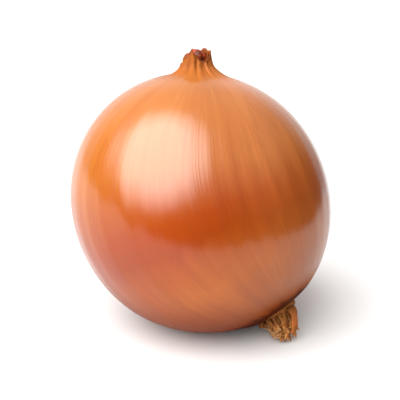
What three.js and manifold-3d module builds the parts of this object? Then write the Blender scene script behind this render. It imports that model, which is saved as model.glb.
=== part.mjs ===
// A whole brown onion lying on a table: the bulb in its dry skin, the dried neck stub on top
// and the tuft of dry roots below. Millimetres, +Z up, standing on z = 0.
import * as THREE from "three";
import { mergeVertices } from "three/addons/utils/BufferGeometryUtils.js";
import Module from "manifold-3d";

const wasm = await Module();
wasm.setup();

// Driving dimensions
const BULB_RADIUS = 36.9; // across the axis that the roots grow on
const ROOT_STRETCH = 0.07; // how much longer the bulb is along that axis
const SETTLE = 0.07; // how much flatter it is underneath
const NECK_SINK = 0.016; // and on top, round the neck
const CENTRE_HEIGHT = 35.4; // the flat spot that it rests on lies this far below its centre
const SEAT_GAP = 0.3; // clearance between the bulb and what grows out of it

// How the onion lies, in degrees: the neck leans back, the root end shows low at the front right
const NECK_FROM_UP = 14;
const NECK_HEADING = 97; // round +Z from +X
const ROOT_FROM_DOWN = 41;
const ROOT_HEADING = -28;
const SETTLE_FROM_DOWN = 5.5; // middle of the flatter underside, towards the root end
const SETTLE_FOCUS = 10; // a higher power keeps the flattening closer to its middle
const SINK_FOCUS = 6;

// Bulb
const SEGMENTS = 72;
const BODY_RINGS = 30;
const CURVE_STEPS = 6;
const SHOULDER_ANGLE = 15; // degrees from the neck where the round body turns up to the collar
const SHOULDER_RUN = 3.8;
const COLLAR_RADIUS = 4.5;
const COLLAR_RISE = 1.9; // above the round body
const RIM_ANGLE = 168.5; // degrees from the neck where the body turns in to the root dimple
const RIM_RUN = 0.8;
const DIMPLE_RADIUS = 6.2;
const DIMPLE_DEPTH = 2; // below the round body
const LOBES = [
  { count: 3, depth: 0.004, turn: 1.1 },
  { count: 5, depth: 0.003, turn: 2.3 },
];
const PLEATS = 14;
const PLEAT_DEPTH = 0.25;

// Spans of the bulb, in degrees from the neck
const PLEAT_FADE = [6, 26]; // the pleats run out here
const LEAN_SPAN = [12, 168]; // the rings swing from the neck's lean to the root's
const NECK_END = [7, 16]; // inside the first angle the collar sits square to the neck
const ROOT_END = [160, 170]; // past the second angle the dimple sits square to the roots

// Neck
const SHEATH_HEIGHT = 4.4;
const SHEATH_WALL = 0.8;
const SHEATH_WAIST = 0.4; // how much narrower the sheath is than the collar
const SHEATH_FLOOR = 0.7;
const SHEATH_SEGMENTS = 40;
const TEARS = [
  { heading: -60, depth: 3, width: 40 },
  { heading: -165, depth: 2.6, width: 55 },
];
const TEETH = 9;
const TOOTH_HEIGHT = 0.25;
const PUCKERS = 7;
const PUCKER_DEPTH = 0.15;
const INNER_LEAVES = 4;
const INNER_LEAF_RADIUS = 1.3;
const INNER_LEAF_RING = 1.75;
const INNER_LEAF_HEIGHT = 4.2;
const SHORT_LEAF = 0.85; // every second leaf end is this much shorter
const LEAF_BELLY = 1.1; // how far a leaf end swells out halfway, and closes in at its top
const LEAF_CLOSING = 0.8;
const LEAF_TIP = 0.5; // size of a leaf end's rounded top, as a share of its foot
const LEAF_STEPS = 6;
const LEAF_SIDES = 8;
const FIRST_LEAF_HEADING = -75;

// Roots
const PLATE_RADIUS = 5.8;
const PLATE_HEIGHT = 2.2;
const PLATE_EDGE = 1; // bare edge of the plate, outside the outermost roots
const PLATE_TILT = 0.2; // rise of the plate's face towards the right, as a slope
const ROOTS = 44;
const ROOT_HALF_WIDTH = 0.6;
const STRAPS = 7; // broad flat strands on the outside
const STRAP_HALF_WIDTH = 1.3;
const STRAND_HALF_THICKNESS = 0.5;
const STRAND_TAPER = 0.6; // size of the tip, as a share of the start
const STRAND_STEPS = 5;
const STRAND_SIDES = 4;
const ROOT_RISE = 4.5; // how far a root grows straight out before it bends
const TUFT_LENGTH = 12.5;
const TUFT_FROM_DOWN = 58; // where the tips of the roots gather
const TUFT_HEADING = -71;
const TUFT_GATHER = 0.65; // width of the tuft at its tip, as a share of its start
const TUFT_CURL = 1.6;
const TUFT_SEED = 1;
const SHORTEST_ROOT = 0.65;
const OUTER_ROOT = 0.8; // length of the outermost roots, as a share of the middle ones
const ROOT_CLEARANCE = 0.4; // the lowest roots stop this far above the table

const { lerp, smoothstep } = THREE.MathUtils;
const radians = THREE.MathUtils.degToRad;
const UP = new THREE.Vector3(0, 0, 1);
const DOWN = new THREE.Vector3(0, 0, -1);
const GOLDEN_ANGLE = radians(137.5);

function heading(degrees) {
  return new THREE.Vector3(Math.cos(radians(degrees)), Math.sin(radians(degrees)), 0);
}

// A unit vector that leans away from a pole towards a heading.
function leaning(pole, lean, towards) {
  const vector = pole.clone().multiplyScalar(Math.cos(radians(lean)));
  return vector.addScaledVector(heading(towards), Math.sin(radians(lean)));
}

const neckDirection = leaning(UP, NECK_FROM_UP, NECK_HEADING);
const rootDirection = leaning(DOWN, ROOT_FROM_DOWN, ROOT_HEADING);
const settleDirection = leaning(DOWN, SETTLE_FROM_DOWN, ROOT_HEADING);
const neckTurn = new THREE.Quaternion().setFromUnitVectors(UP, neckDirection);
const rootTurn = new THREE.Quaternion().setFromUnitVectors(UP, rootDirection.clone().negate());
const tuftTurn = new THREE.Quaternion().setFromUnitVectors(UP, rootDirection);

// How far the body reaches in a direction, as a share of BULB_RADIUS.
function reach(direction) {
  const alongRoot = direction.dot(rootDirection);
  const underneath = Math.max(0, direction.dot(settleDirection));
  const onTop = Math.max(0, direction.dot(neckDirection));
  const stretch = 1 + ROOT_STRETCH * alongRoot ** 2;
  return stretch * (1 - SETTLE * underneath ** SETTLE_FOCUS) * (1 - NECK_SINK * onTop ** SINK_FOCUS);
}

const neckReach = reach(neckDirection);
const rootReach = reach(rootDirection);
const collarTop = BULB_RADIUS + COLLAR_RISE;
const dimpleFloor = BULB_RADIUS - DIMPLE_DEPTH;

// The same random numbers on every run.
function seededRandom(seed) {
  let state = seed;
  return () => {
    state = (state * 1664525 + 1013904223) % 4294967296;
    return state / 4294967296;
  };
}

// Closed geometry to a solid that can be joined and cut, and back.
function toSolid(geometry) {
  const bare = new THREE.BufferGeometry().setAttribute("position", geometry.getAttribute("position"));
  bare.setIndex(geometry.index);
  const merged = mergeVertices(bare, 1e-4);
  return new wasm.Manifold(
    new wasm.Mesh({
      numProp: 3,
      vertProperties: new Float32Array(merged.attributes.position.array),
      triVerts: new Uint32Array(merged.index.array),
    }),
  );
}

function toGeometry(solid) {
  const mesh = solid.getMesh();
  const geometry = new THREE.BufferGeometry();
  geometry.setAttribute("position", new THREE.BufferAttribute(new Float32Array(mesh.vertProperties), 3));
  geometry.setIndex(new THREE.BufferAttribute(new Uint32Array(mesh.triVerts), 1));
  geometry.computeVertexNormals();
  return geometry;
}

// A profile of (radius, height) points turned round +Z.
function turned(profile, segments) {
  return new THREE.LatheGeometry(profile, segments).rotateX(Math.PI / 2);
}

// Moves every vertex of a geometry by a rule that changes the point in place.
function reshape(geometry, rule) {
  const position = geometry.getAttribute("position");
  const point = new THREE.Vector3();
  for (let i = 0; i < position.count; i += 1) {
    rule(point.fromBufferAttribute(position, i));
    position.setXYZ(i, point.x, point.y, point.z);
  }
  return geometry;
}

// Bulb

function bodyPoint(degrees) {
  const angle = radians(degrees);
  return new THREE.Vector2(Math.sin(angle), Math.cos(angle)).multiplyScalar(BULB_RADIUS);
}

// Along the round body at a point, towards the neck.
function bodyTangent(degrees) {
  const angle = radians(degrees);
  return new THREE.Vector2(-Math.cos(angle), Math.sin(angle));
}

function bulbProfile() {
  const rim = bodyPoint(RIM_ANGLE);
  const rimBend = rim.clone().addScaledVector(bodyTangent(RIM_ANGLE), -RIM_RUN);
  const wallFoot = new THREE.Vector2(DIMPLE_RADIUS, -dimpleFloor);
  const dimple = new THREE.QuadraticBezierCurve(wallFoot, rimBend, rim);
  const shoulder = bodyPoint(SHOULDER_ANGLE);
  const shoulderBend = shoulder.clone().addScaledVector(bodyTangent(SHOULDER_ANGLE), SHOULDER_RUN);
  const collar = new THREE.Vector2(COLLAR_RADIUS, collarTop);
  const rise = new THREE.QuadraticBezierCurve(shoulder, shoulderBend, collar);
  const points = [new THREE.Vector2(0, -dimpleFloor), ...dimple.getPoints(CURVE_STEPS)];
  for (let i = 1; i < BODY_RINGS; i += 1) {
    points.push(bodyPoint(lerp(RIM_ANGLE, SHOULDER_ANGLE, i / BODY_RINGS)));
  }
  return [...points, ...rise.getPoints(CURVE_STEPS), new THREE.Vector2(0, collarTop)];
}

// Pleats gathered in at the neck, the lean from root to neck, and the reach of the body.
// Each end keeps one reach of its own, so what grows there sits square.
function shapeBulb(point) {
  const across = Math.hypot(point.x, point.y);
  const along = Math.atan2(point.y, point.x);
  const fromNeck = THREE.MathUtils.radToDeg(Math.atan2(across, point.z));
  const gather = 1 - smoothstep(fromNeck, ...PLEAT_FADE);
  const pleat = (PLEAT_DEPTH * gather * Math.cos(PLEATS * along)) / Math.max(across, COLLAR_RADIUS);
  point.x *= 1 + pleat;
  point.y *= 1 + pleat;
  const neckShare = 1 - smoothstep(fromNeck, ...LEAN_SPAN);
  point.applyQuaternion(new THREE.Quaternion().slerpQuaternions(rootTurn, neckTurn, neckShare));
  let size = lerp(neckReach, reach(point.clone().normalize()), smoothstep(fromNeck, ...NECK_END));
  size = lerp(size, rootReach, smoothstep(fromNeck, ...ROOT_END));
  LOBES.forEach(({ count, depth, turn }) => {
    size += depth * Math.sin(radians(fromNeck)) ** 2 * Math.cos(count * along + turn);
  });
  point.multiplyScalar(size);
}

function bulbGeometry() {
  const body = toSolid(reshape(turned(bulbProfile(), SEGMENTS), shapeBulb));
  const tableSize = 4 * BULB_RADIUS;
  const table = new THREE.BoxGeometry(tableSize, tableSize, tableSize);
  table.translate(0, 0, -CENTRE_HEIGHT - tableSize / 2);
  return toGeometry(body.subtract(toSolid(table)));
}

// A closed strand along a curve. Its section is an oval, given by half its width and thickness,
// whose broad side lies along `across`, and sizeAt scales it from the start to the tip.
function strand(curve, across, { width, thickness, sides }, steps, sizeAt) {
  const positions = [];
  const index = [];
  for (let i = 0; i <= steps; i += 1) {
    const tangent = curve.getTangent(i / steps);
    const side = across.clone().addScaledVector(tangent, -across.dot(tangent)).normalize();
    const through = tangent.clone().cross(side);
    for (let k = 0; k < sides; k += 1) {
      const angle = (2 * Math.PI * k) / sides;
      const corner = curve.getPoint(i / steps);
      corner.addScaledVector(side, width * sizeAt(i / steps) * Math.cos(angle));
      corner.addScaledVector(through, thickness * sizeAt(i / steps) * Math.sin(angle));
      positions.push(corner.x, corner.y, corner.z);
    }
  }
  for (let i = 0; i < steps; i += 1) {
    for (let k = 0; k < sides; k += 1) {
      const a = i * sides + k;
      const b = i * sides + ((k + 1) % sides);
      index.push(a, b, b + sides, a, b + sides, a + sides);
    }
  }
  const last = steps * sides;
  for (let k = 1; k < sides - 1; k += 1) {
    index.push(0, k + 1, k, last, last + k, last + k + 1);
  }
  const geometry = new THREE.BufferGeometry();
  geometry.setAttribute("position", new THREE.Float32BufferAttribute(positions, 3));
  geometry.setIndex(index);
  return geometry;
}

// Neck: a leaf sheath torn low at the front right and at the left, round shrivelled leaf ends

function tearHeight(along) {
  let height = SHEATH_HEIGHT + TOOTH_HEIGHT * Math.cos(TEETH * along);
  TEARS.forEach(({ heading: middle, depth, width }) => {
    const away = Math.acos(Math.cos(along - radians(middle)));
    height -= depth * Math.exp(-((away / radians(width)) ** 2));
  });
  return height;
}

function sheathGeometry() {
  const waist = COLLAR_RADIUS - SHEATH_WAIST;
  const inner = waist - SHEATH_WALL;
  const middle = (SHEATH_FLOOR + SHEATH_HEIGHT) / 2;
  const profile = [
    new THREE.Vector2(0, 0),
    new THREE.Vector2(COLLAR_RADIUS, 0),
    new THREE.Vector2(waist, SHEATH_FLOOR),
    new THREE.Vector2(waist, middle),
    new THREE.Vector2(waist, SHEATH_HEIGHT),
    new THREE.Vector2(inner, SHEATH_HEIGHT),
    new THREE.Vector2(inner, middle),
    new THREE.Vector2(inner, SHEATH_FLOOR),
    new THREE.Vector2(0, SHEATH_FLOOR),
  ];
  return reshape(turned(profile, SHEATH_SEGMENTS), (point) => {
    const along = Math.atan2(point.y, point.x);
    const across = Math.hypot(point.x, point.y);
    const share = Math.max(0, (point.z - SHEATH_FLOOR) / (SHEATH_HEIGHT - SHEATH_FLOOR));
    const pucker = (share * PUCKER_DEPTH * Math.cos(PUCKERS * along)) / Math.max(across, inner);
    point.x *= 1 + pucker;
    point.y *= 1 + pucker;
    point.z += share * (tearHeight(along) - SHEATH_HEIGHT);
  });
}

function innerLeaf(number) {
  const towards = FIRST_LEAF_HEADING + (360 / INNER_LEAVES) * number;
  const foot = heading(towards).multiplyScalar(INNER_LEAF_RING);
  const height = INNER_LEAF_HEIGHT * (number % 2 ? SHORT_LEAF : 1);
  const curve = new THREE.QuadraticBezierCurve3(
    foot.clone().setZ(SHEATH_FLOOR / 2),
    foot.clone().multiplyScalar(LEAF_BELLY).setZ(height / 2),
    foot.clone().multiplyScalar(LEAF_CLOSING).setZ(height),
  );
  const rounded = (share) => lerp(1, LEAF_TIP, share ** 4);
  const section = { width: INNER_LEAF_RADIUS, thickness: INNER_LEAF_RADIUS, sides: LEAF_SIDES };
  return strand(curve, heading(towards + 90), section, LEAF_STEPS, rounded);
}

function neckGeometry() {
  let solid = toSolid(sheathGeometry());
  for (let i = 0; i < INNER_LEAVES; i += 1) {
    solid = solid.add(toSolid(innerLeaf(i)));
  }
  return toGeometry(solid);
}

// Roots: a domed plate with strands that grow straight out of it, bend and gather at a drooping tip

const rootSeatHeight = dimpleFloor * rootReach + SEAT_GAP;
const intoTuft = tuftTurn.clone().invert();
const tuftDirection = leaning(DOWN, TUFT_FROM_DOWN, TUFT_HEADING);
const tuftTip = tuftDirection.multiplyScalar(TUFT_LENGTH).applyQuaternion(intoTuft);
const tuftUp = UP.clone().applyQuaternion(intoTuft);
const rightInPlate = heading(0).applyQuaternion(intoTuft).setZ(0).normalize();
const plateNormal = UP.clone().addScaledVector(rightInPlate, -PLATE_TILT).normalize();

// The plate's back lies square to the root axis and its face slopes.
function tiltPlate(point) {
  point.z += PLATE_TILT * point.dot(rightInPlate) * (point.z / PLATE_HEIGHT);
}

// Lifts a point of the tuft that would lie too near the table.
function keepAboveTable(point) {
  const height = point.dot(tuftUp) + rootSeatHeight * rootDirection.z + CENTRE_HEIGHT;
  const short = ROOT_HALF_WIDTH + ROOT_CLEARANCE - height;
  return short > 0 ? point.addScaledVector(tuftUp, short) : point;
}

function rootStrand(along, spread, width, random) {
  const out = new THREE.Vector3(Math.cos(along), Math.sin(along), 0);
  const across = new THREE.Vector3(-out.y, out.x, 0);
  const length = lerp(SHORTEST_ROOT, 1, random()) * lerp(1, OUTER_ROOT, spread);
  const curl = new THREE.Vector3(random() - 0.5, random() - 0.5, random() - 0.5).multiplyScalar(TUFT_CURL);
  const start = out.clone().multiplyScalar(spread * (PLATE_RADIUS - PLATE_EDGE)).setZ(PLATE_HEIGHT / 2);
  tiltPlate(start);
  const bend = start.clone().addScaledVector(plateNormal, ROOT_RISE).addScaledVector(out, spread).add(curl);
  const tip = start.clone().multiplyScalar(TUFT_GATHER).addScaledVector(tuftTip, length).add(curl);
  const curve = new THREE.QuadraticBezierCurve3(start, keepAboveTable(bend), keepAboveTable(tip));
  const taper = (share) => lerp(1, STRAND_TAPER, share);
  const section = { width, thickness: STRAND_HALF_THICKNESS, sides: STRAND_SIDES };
  return strand(curve, across, section, STRAND_STEPS, taper);
}

function rootTuftGeometry() {
  const dome = new THREE.QuadraticBezierCurve(
    new THREE.Vector2(PLATE_RADIUS, PLATE_HEIGHT / 3),
    new THREE.Vector2(PLATE_RADIUS, PLATE_HEIGHT),
    new THREE.Vector2(PLATE_RADIUS / 2, PLATE_HEIGHT),
  );
  const middle = [new THREE.Vector2(0, 0), new THREE.Vector2(PLATE_RADIUS, 0)];
  const profile = [...middle, ...dome.getPoints(CURVE_STEPS), new THREE.Vector2(0, PLATE_HEIGHT)];
  let solid = toSolid(reshape(turned(profile, SEGMENTS / 3), tiltPlate));
  const random = seededRandom(TUFT_SEED);
  for (let i = 0; i < ROOTS; i += 1) {
    const spread = Math.sqrt((i + 0.5) / ROOTS);
    solid = solid.add(toSolid(rootStrand(i * GOLDEN_ANGLE, spread, ROOT_HALF_WIDTH, random)));
  }
  for (let i = 0; i < STRAPS; i += 1) {
    solid = solid.add(toSolid(rootStrand((2 * Math.PI * i) / STRAPS, 1, STRAP_HALF_WIDTH, random)));
  }
  return toGeometry(solid);
}

// Materials

const skin = new THREE.MeshStandardMaterial({ color: 0xc8692c, roughness: 0.35, metalness: 0 });
const driedLeaf = new THREE.MeshStandardMaterial({ color: 0x7a3f18, roughness: 0.8, metalness: 0 });
const dryRoot = new THREE.MeshStandardMaterial({ color: 0xa8763f, roughness: 0.85, metalness: 0 });

function named(name, geometry, material) {
  const mesh = new THREE.Mesh(geometry, material);
  mesh.name = name;
  return mesh;
}

// Assembly: the bulb's centre is the origin until the whole onion is stood on the table

const body = new THREE.Group();
body.add(named("bulb", bulbGeometry(), skin));

const neckSeat = new THREE.Group();
neckSeat.quaternion.copy(neckTurn);
neckSeat.position.copy(neckDirection).multiplyScalar(collarTop * neckReach + SEAT_GAP);
neckSeat.add(named("neck", neckGeometry(), driedLeaf));
body.add(neckSeat);

const rootSeat = new THREE.Group();
rootSeat.quaternion.copy(tuftTurn);
rootSeat.position.copy(rootDirection).multiplyScalar(rootSeatHeight);
rootSeat.add(named("root_tuft", rootTuftGeometry(), dryRoot));
body.add(rootSeat);

const box = new THREE.Box3().setFromObject(body, true);
const middle = box.getCenter(new THREE.Vector3());
body.position.set(-middle.x, -middle.y, -box.min.z);

const onion = new THREE.Group();
onion.add(body);

export default onion;
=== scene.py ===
# %% [markdown]
# # A brown onion
# A whole onion lies on a pale table: a round bulb in a dry, glossy skin, a torn neck on top, and a tuft of
# dry roots low at the front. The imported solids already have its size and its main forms. This lesson makes
# a finer mesh for each of them, at the same place, and gives each one the finish of the real thing.

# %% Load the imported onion
import math
import random

import bmesh
import bpy
import numpy as np
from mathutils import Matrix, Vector


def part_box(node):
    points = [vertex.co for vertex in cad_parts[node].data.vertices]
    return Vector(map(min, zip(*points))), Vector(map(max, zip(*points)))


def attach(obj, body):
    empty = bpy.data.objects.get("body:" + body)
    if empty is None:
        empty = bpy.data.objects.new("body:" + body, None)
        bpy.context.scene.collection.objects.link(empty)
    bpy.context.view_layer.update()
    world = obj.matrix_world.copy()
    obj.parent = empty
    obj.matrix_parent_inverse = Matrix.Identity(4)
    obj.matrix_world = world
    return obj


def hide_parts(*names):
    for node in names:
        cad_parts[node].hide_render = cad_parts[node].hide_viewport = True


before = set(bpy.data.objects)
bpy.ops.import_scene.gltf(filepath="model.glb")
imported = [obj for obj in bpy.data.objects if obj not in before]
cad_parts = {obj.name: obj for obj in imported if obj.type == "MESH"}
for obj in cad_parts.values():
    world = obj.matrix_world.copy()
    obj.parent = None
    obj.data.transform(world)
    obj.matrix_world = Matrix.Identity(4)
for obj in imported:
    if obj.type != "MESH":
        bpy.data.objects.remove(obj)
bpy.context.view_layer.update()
MM = 0.001
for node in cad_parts:
    low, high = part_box(node)
    print(node, "spans", [round(side / MM, 1) for side in high - low], "mm")

# %% [markdown]
# ## How the onion lies
# An onion grows along an axis from its roots to its neck. This one has rolled on to its side a little, so
# the neck leans back and the root end shows low at the front right. The axis is bent, because the neck
# dried and sagged. Three directions from the bulb's centre say all of that, and every piece uses them: to
# the neck, to the roots, and to the middle of the flatter underside.

# %% Directions from the bulb's centre
# Angles are in degrees. A heading turns from the right, which is +X, towards the back, which is +Y.
CENTRE_HEIGHT = 35.4 * MM
NECK_FROM_UP = 14
NECK_HEADING = 97
ROOT_FROM_DOWN = 41
ROOT_HEADING = -28
SETTLE_FROM_DOWN = 5.5

UP = Vector((0, 0, 1))
DOWN = Vector((0, 0, -1))
bulb_centre = UP * CENTRE_HEIGHT


def heading(degrees):
    """A level direction, by its turn round the vertical from the right."""
    turn = math.radians(degrees)
    return Vector((math.cos(turn), math.sin(turn), 0))


def leaning(pole, lean, towards):
    """A direction that leans away from a pole towards a heading."""
    return pole * math.cos(math.radians(lean)) + heading(towards) * math.sin(math.radians(lean))


neck_direction = leaning(UP, NECK_FROM_UP, NECK_HEADING)
root_direction = leaning(DOWN, ROOT_FROM_DOWN, ROOT_HEADING)
settle_direction = leaning(DOWN, SETTLE_FROM_DOWN, ROOT_HEADING)
neck_turn = UP.rotation_difference(neck_direction)
root_turn = UP.rotation_difference(-root_direction)
tuft_turn = UP.rotation_difference(root_direction)
print("neck", neck_direction, "roots", root_direction)

# %% [markdown]
# ## The camera
# The photographer looked down a little, from far enough away that the onion hardly tapers. A long lens a
# short step back does the same. The picture shows the square of the photograph that the onion fills.

# %% Set up the camera
VIEW_ELEVATION = 22
LENS = 150
SENSOR = 36
PIXEL = 0.543 * MM
FRAME_PIXELS = 215
BULB_IN_FRAME = (0.502, 0.507)

frame_width = FRAME_PIXELS * PIXEL
frame_right = Vector((1, 0, 0))
frame_up = leaning(UP, VIEW_ELEVATION, 90)
towards_viewer = frame_right.cross(frame_up)
aim = bulb_centre + frame_right * (0.5 - BULB_IN_FRAME[0]) * frame_width
aim += frame_up * (BULB_IN_FRAME[1] - 0.5) * frame_width
view_distance = frame_width * LENS / SENSOR

bpy.ops.object.camera_add(location=aim + towards_viewer * view_distance)
camera = bpy.context.object
camera.name = "camera"
camera.rotation_euler = (math.radians(90 - VIEW_ELEVATION), 0, 0)
camera.data.lens = LENS
camera.data.sensor_width = SENSOR
bpy.context.scene.camera = camera
print("camera", round(view_distance, 3), "m from the onion")

# %% [markdown]
# ## Shader arithmetic
# A finish is a sum of patterns, and sums are easier to read as Python than as a web of nodes. One small
# class holds an output of a node and turns +, -, *, ** and abs into Math nodes. A second one adds any other
# node by its type, its settings and what goes into its sockets, and knows a few patterns by name.

# %% Values that do arithmetic


class Value:
    """An output in a node tree. Arithmetic on it adds Math nodes."""

    def __init__(self, finish, output):
        self.finish = finish
        self.output = output

    def math(self, operation, first, second=0.0):
        return self.finish.add("Math", {"operation": operation}, {0: first, 1: second})

    def __add__(self, other):
        return self.math("ADD", self, other)

    def __sub__(self, other):
        return self.math("SUBTRACT", self, other)

    def __rsub__(self, other):
        return self.math("SUBTRACT", other, self)

    def __mul__(self, other):
        return self.math("MULTIPLY", self, other)

    def __pow__(self, other):
        return self.math("POWER", self, other)

    def __abs__(self):
        return self.math("ABSOLUTE", self)

    __radd__ = __add__
    __rmul__ = __mul__


# %% Finishes that grow node by node


class Finish:
    """A node tree that grows by a few nodes a call."""

    def __init__(self, tree):
        self.tree = tree
        tree.nodes.clear()

    def add(self, kind, settings, inputs, output=0):
        """Adds a node, sets it up, then fills or links its sockets, and gives one of its outputs."""
        node = self.tree.nodes.new("ShaderNode" + kind)
        for name, setting in settings.items():
            if name == "stops":
                self.fill_ramp(node.color_ramp, setting)
            else:
                setattr(node, name, setting)
        for name, value in inputs.items():
            if isinstance(value, Value):
                self.tree.links.new(value.output, node.inputs[name])
            else:
                node.inputs[name].default_value = value
        return Value(self, node.outputs[output]) if node.outputs else None

    def fill_ramp(self, ramp, stops):
        """Gives a colour ramp its stops, each a place and a colour."""
        while len(ramp.elements) < len(stops):
            ramp.elements.new(1.0)
        for element, (place, colour) in zip(ramp.elements, stops):
            element.position = place
            element.color = colour

    def attribute(self, name, output="Fac"):
        """What the mesh keeps for each vertex under a name."""
        return self.add("Attribute", {"attribute_name": name}, {}, output)

    def part(self, vector, axis):
        """One part of a vector: X, Y or Z."""
        return self.add("SeparateXYZ", {}, {0: vector}, axis)

    def dot(self, vector, direction):
        """How far a vector reaches along a direction."""
        return self.add("VectorMath", {"operation": "DOT_PRODUCT"}, {0: vector, 1: direction}, "Value")

    def step(self, value, start, end):
        """Rises smoothly from 0 at start to 1 at end."""
        settings = {"interpolation_type": "SMOOTHSTEP"}
        return self.add("MapRange", settings, {"Value": value, "From Min": start, "From Max": end})

    def mix(self, share, first, second):
        """Blends two colours."""
        return self.add("Mix", {"data_type": "RGBA"}, {0: share, 6: first, 7: second}, 2)

    def stain(self, colour, pattern, span, share, stain):
        """Blends in a share of another colour as a pattern passes through a span."""
        return self.mix(self.step(pattern, *span) * share, colour, stain)

    def noise(self, vector, stretch, detail, roughness):
        """Noise that is finer along the axes with a larger stretch."""
        place = self.add("VectorMath", {"operation": "MULTIPLY"}, {0: vector, 1: stretch})
        inputs = {"Vector": place, "Scale": 1.0, "Detail": detail, "Roughness": roughness}
        return self.add("TexNoise", {}, inputs)

    def bump(self, height, strength, distance):
        """Tilts the surface as if it had this height."""
        return self.add("Bump", {}, {"Strength": strength, "Distance": distance, "Height": height})


def new_finish(name):
    """A new material and the finish that fills its node tree."""
    material = bpy.data.materials.new(name)
    material.use_nodes = True
    return material, Finish(material.node_tree)


# %% [markdown]
# ## The studio
# The highlights on the skin show how it was lit: a large round softbox high at the front left, a pale
# ceiling, a white wall behind, and a dark room behind the photographer. The dark room matters: a glossy
# skin looks glossy only where it mirrors something dark beside something bright. The white table ends a
# hand's length from the onion, in front and on the right, and glows a little, so that no shadow is black.

# %% The table
TABLE_SIZE = 1.6
TABLE_FRONT = 0.18
TABLE_RIGHT = 0.18
TABLE_WHITE = (0.82, 0.81, 0.80, 1)
TABLE_GLOW = 0.0488
TABLE_ROUGHNESS = 0.9
TABLE_SPECULAR = 0.1


def table_material():
    """Matt white paint with a faint glow."""
    material, finish = new_finish("table_paint")
    inputs = {
        "Base Color": TABLE_WHITE,
        "Roughness": TABLE_ROUGHNESS,
        "Specular IOR Level": TABLE_SPECULAR,
        "Emission Color": TABLE_WHITE,
        "Emission Strength": TABLE_GLOW,
    }
    paint = finish.add("BsdfPrincipled", {}, inputs)
    finish.add("OutputMaterial", {}, {"Surface": paint})
    return material


table_middle = Vector((TABLE_RIGHT - TABLE_SIZE / 2, TABLE_SIZE / 2 - TABLE_FRONT, 0))
bpy.ops.mesh.primitive_plane_add(size=TABLE_SIZE, location=table_middle)
table = bpy.context.object
table.name = "table"
table.data.materials.append(table_material())
print("table", TABLE_SIZE, "m wide")

# %% The softbox
# Three discs, each wider than the one in front of it, give the softbox its soft edge. All but the widest
# light the onion alone, which keeps its shadow on the table pale.
KEY_DIRECTION = Vector((-0.527, -0.373, 0.766))
KEY_DISTANCE = 1.0
KEY_WIDTH = 1.58
KEY_BRIGHTNESS = 7.5
KEY_GROWTHS = (0.76, 1.0, 1.24)
DISC_GAP = 0.01

onion_only = bpy.data.collections.new("onion_only")
for layer, growth in enumerate(KEY_GROWTHS):
    away = KEY_DIRECTION * (KEY_DISTANCE + layer * DISC_GAP)
    bpy.ops.object.light_add(type="AREA", location=bulb_centre + away)
    disc = bpy.context.object
    disc.name = f"key_softbox_{layer}"
    disc.rotation_euler = away.to_track_quat("Z", "Y").to_euler()
    disc.data.shape = "DISK"
    disc.data.size = KEY_WIDTH * growth
    disc.data.energy = KEY_BRIGHTNESS / len(KEY_GROWTHS) * math.pi * disc.data.size**2
    if growth < max(KEY_GROWTHS):
        disc.light_linking.receiver_collection = onion_only
print("softbox", KEY_WIDTH, "m across")

# %% The room round the table
# The camera sees plain white all round. Only the light and the reflections come from the room itself.
ROOM_DARK = 0.03
WALL_WHITE = 1.2
WALL_DIRECTION = (-0.1, 0.99, 0)
WALL_EDGE = (0.5, 0.95)
CEILING_GREY = 0.9
CEILING_EDGE = (0.2, 0.85)
WHITE = (1, 1, 1, 1)

world = bpy.data.worlds.new("room")
world.use_nodes = True
bpy.context.scene.world = world
room = Finish(world.node_tree)
direction = room.add("TexCoord", {}, {}, "Generated")
wall = room.step(room.dot(direction, WALL_DIRECTION), *WALL_EDGE)
ceiling = room.step(room.part(direction, "Z"), *CEILING_EDGE)
low_light = wall * (WALL_WHITE - ROOM_DARK) + ROOM_DARK
room_light = low_light * (1 - ceiling) + ceiling * CEILING_GREY
seen = room.add("LightPath", {}, {}, "Is Camera Ray")
background = room.add("Background", {}, {"Color": WHITE, "Strength": room_light * (1 - seen) + seen})
room.add("OutputWorld", {}, {"Surface": background})
bpy.context.scene.view_settings.view_transform = "Standard"
print("wall", WALL_WHITE, "ceiling", CEILING_GREY, "dark side", ROOM_DARK)

# %% [markdown]
# ## Modelling helpers
# An operator works on whatever is selected, so each piece starts with nothing selected. All of the onion is
# made of rows of points or rings: one is extruded, moved and scaled again and again, as by hand.

# %% Helpers for edit mode
MERGE_DISTANCE = 0.001 * MM


def start_ring(name, vertices, radius, **settings):
    """Adds a ring of vertices with nothing else selected, and opens it in edit mode."""
    bpy.ops.object.select_all(action="DESELECT")
    bpy.ops.mesh.primitive_circle_add(vertices=vertices, radius=radius, **settings)
    piece = bpy.context.object
    piece.name = name
    bpy.ops.object.transform_apply(location=True, rotation=True)
    bpy.ops.object.mode_set(mode="EDIT")
    return piece


def select_vertices(piece, test):
    """In edit mode, selects the vertices whose place passes a test."""
    bpy.ops.mesh.select_mode(type="VERT")
    bpy.ops.mesh.select_all(action="DESELECT")
    mesh = bmesh.from_edit_mesh(piece.data)
    for vertex in mesh.verts:
        vertex.select = test(vertex.co)
    mesh.select_flush(True)
    bmesh.update_edit_mesh(piece.data)


def extrude_through(centres, radii=None):
    """Extrudes what is selected from the first centre through the others, scaled to a radius at each."""
    for number in range(1, len(centres)):
        step = centres[number] - centres[number - 1]
        bpy.ops.mesh.extrude_region_move(TRANSFORM_OT_translate={"value": step})
        if radii:
            growth = radii[number] / radii[number - 1]
            bpy.ops.transform.resize(value=(growth, growth, growth), center_override=centres[number])


def close_ring():
    """Closes the selected ring with faces that meet at its middle."""
    bpy.ops.mesh.extrude_region_move()
    bpy.ops.mesh.merge(type="CENTER")


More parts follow.
